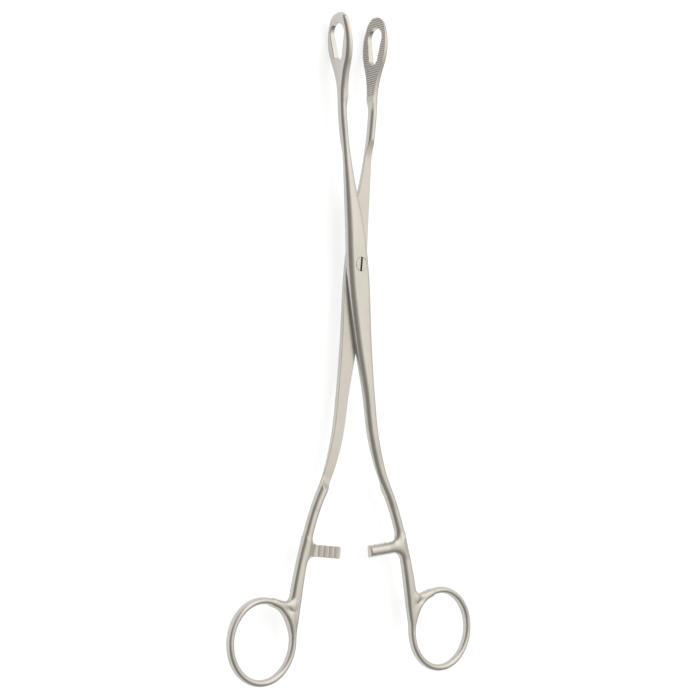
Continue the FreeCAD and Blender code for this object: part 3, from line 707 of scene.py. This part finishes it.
# Light: a dim tent with one broad warm window of light, high on the right, and a small lamp above
tent = {
    "dim": (0.235, 0.23, 0.215),
    "window": (0.95, 0.895, 0.815),
    "windowFocus": 3.0,
    "azimuth": math.radians(32.0),  # from +Z towards +X
    "rise": math.radians(26.0),  # from there towards the jaws
    "lamp": (1.3, 1.28, 1.24),
    "lampPlace": (0.12, 0.86, 0.50),
    "lampFocus": 26.0,
}


def cameraAxes():
    # Right, up and towards the camera, from the turn about Y, then the tilt and the roll
    turn = cameraPlace["turn"]
    tilt = cameraPlace["tilt"]
    roll = cameraPlace["roll"]
    sideways = Vector((math.cos(turn), 0, math.sin(turn)))
    upwards = Vector((math.sin(turn) * math.sin(tilt), math.cos(tilt), -math.cos(turn) * math.sin(tilt)))
    towards = Vector((-math.sin(turn) * math.cos(tilt), math.sin(tilt), math.cos(turn) * math.cos(tilt)))
    right = math.cos(roll) * sideways - math.sin(roll) * upwards
    above = math.sin(roll) * sideways + math.cos(roll) * upwards
    return right, above, towards


def makeCamera():
    right, above, towards = cameraAxes()
    camera = bpy.data.cameras.new("camera")
    camera.sensor_width = cameraPlace["sensor"]
    camera.lens = cameraPlace["focalPixels"] * cameraPlace["sensor"] / cameraPlace["imagePixels"]
    camera.clip_start = 0.01
    holder = bpy.data.objects.new("camera", camera)
    bpy.context.scene.collection.objects.link(holder)
    place = (cameraPlace["distance"] * towards - cameraPlace["shiftRight"] * right
             - cameraPlace["shiftUp"] * above + Vector((0, 0, lapHeight)))
    holder.matrix_world = Matrix.Translation(place) @ Matrix((right, above, towards)).transposed().to_4x4()
    bpy.context.scene.camera = holder


def makeTent():
    world = bpy.data.worlds.new("tent")
    bpy.context.scene.world = world
    world.use_nodes = True
    tree = world.node_tree
    tree.nodes.clear()
    link = tree.links.new
    place = addNode(tree, "ShaderNodeTexCoord")
    azimuth = tent["azimuth"]
    rise = tent["rise"]
    axis = (math.sin(azimuth) * math.cos(rise), math.sin(rise), math.cos(azimuth) * math.cos(rise))
    facing = addNode(tree, "ShaderNodeVectorMath", [(1, axis)], operation="DOT_PRODUCT")
    link(place.outputs["Generated"], facing.inputs[0])
    lit = addNode(tree, "ShaderNodeMath", [(1, 0.0)], operation="MAXIMUM")
    link(facing.outputs["Value"], lit.inputs[0])
    pane = addNode(tree, "ShaderNodeMath", [(1, tent["windowFocus"])], operation="POWER")
    link(lit.outputs[0], pane.inputs[0])
    window = addNode(tree, "ShaderNodeMix", data_type="RGBA")
    link(pane.outputs[0], window.inputs["Factor"])
    window.inputs["A"].default_value = (*tent["dim"], 1)
    window.inputs["B"].default_value = (*(a + b for a, b in zip(tent["dim"], tent["window"])), 1)
    lampFacing = addNode(tree, "ShaderNodeVectorMath", [(1, tent["lampPlace"])], operation="DOT_PRODUCT")
    link(place.outputs["Generated"], lampFacing.inputs[0])
    lampLit = addNode(tree, "ShaderNodeMath", [(1, 0.0)], operation="MAXIMUM")
    link(lampFacing.outputs["Value"], lampLit.inputs[0])
    spot = addNode(tree, "ShaderNodeMath", [(1, tent["lampFocus"])], operation="POWER")
    link(lampLit.outputs[0], spot.inputs[0])
    lamp = addNode(tree, "ShaderNodeMix", data_type="RGBA")
    link(spot.outputs[0], lamp.inputs["Factor"])
    link(window.outputs["Result"], lamp.inputs["A"])
    lamp.inputs["B"].default_value = (*tent["lamp"], 1)
    path = addNode(tree, "ShaderNodeLightPath")
    back = addNode(tree, "ShaderNodeBackground", [("Strength", 1.0)])
    white = addNode(tree, "ShaderNodeBackground", [("Color", (1, 1, 1, 1)), ("Strength", 1.0)])
    link(lamp.outputs["Result"], back.inputs["Color"])
    pick = addNode(tree, "ShaderNodeMixShader")
    link(path.outputs["Is Camera Ray"], pick.inputs[0])
    link(back.outputs[0], pick.inputs[1])
    link(white.outputs[0], pick.inputs[2])
    output = addNode(tree, "ShaderNodeOutputWorld")
    link(pick.outputs[0], output.inputs["Surface"])


makeCamera()
makeTent()
bpy.context.scene.view_settings.view_transform = "Standard"
print("camera and light set")
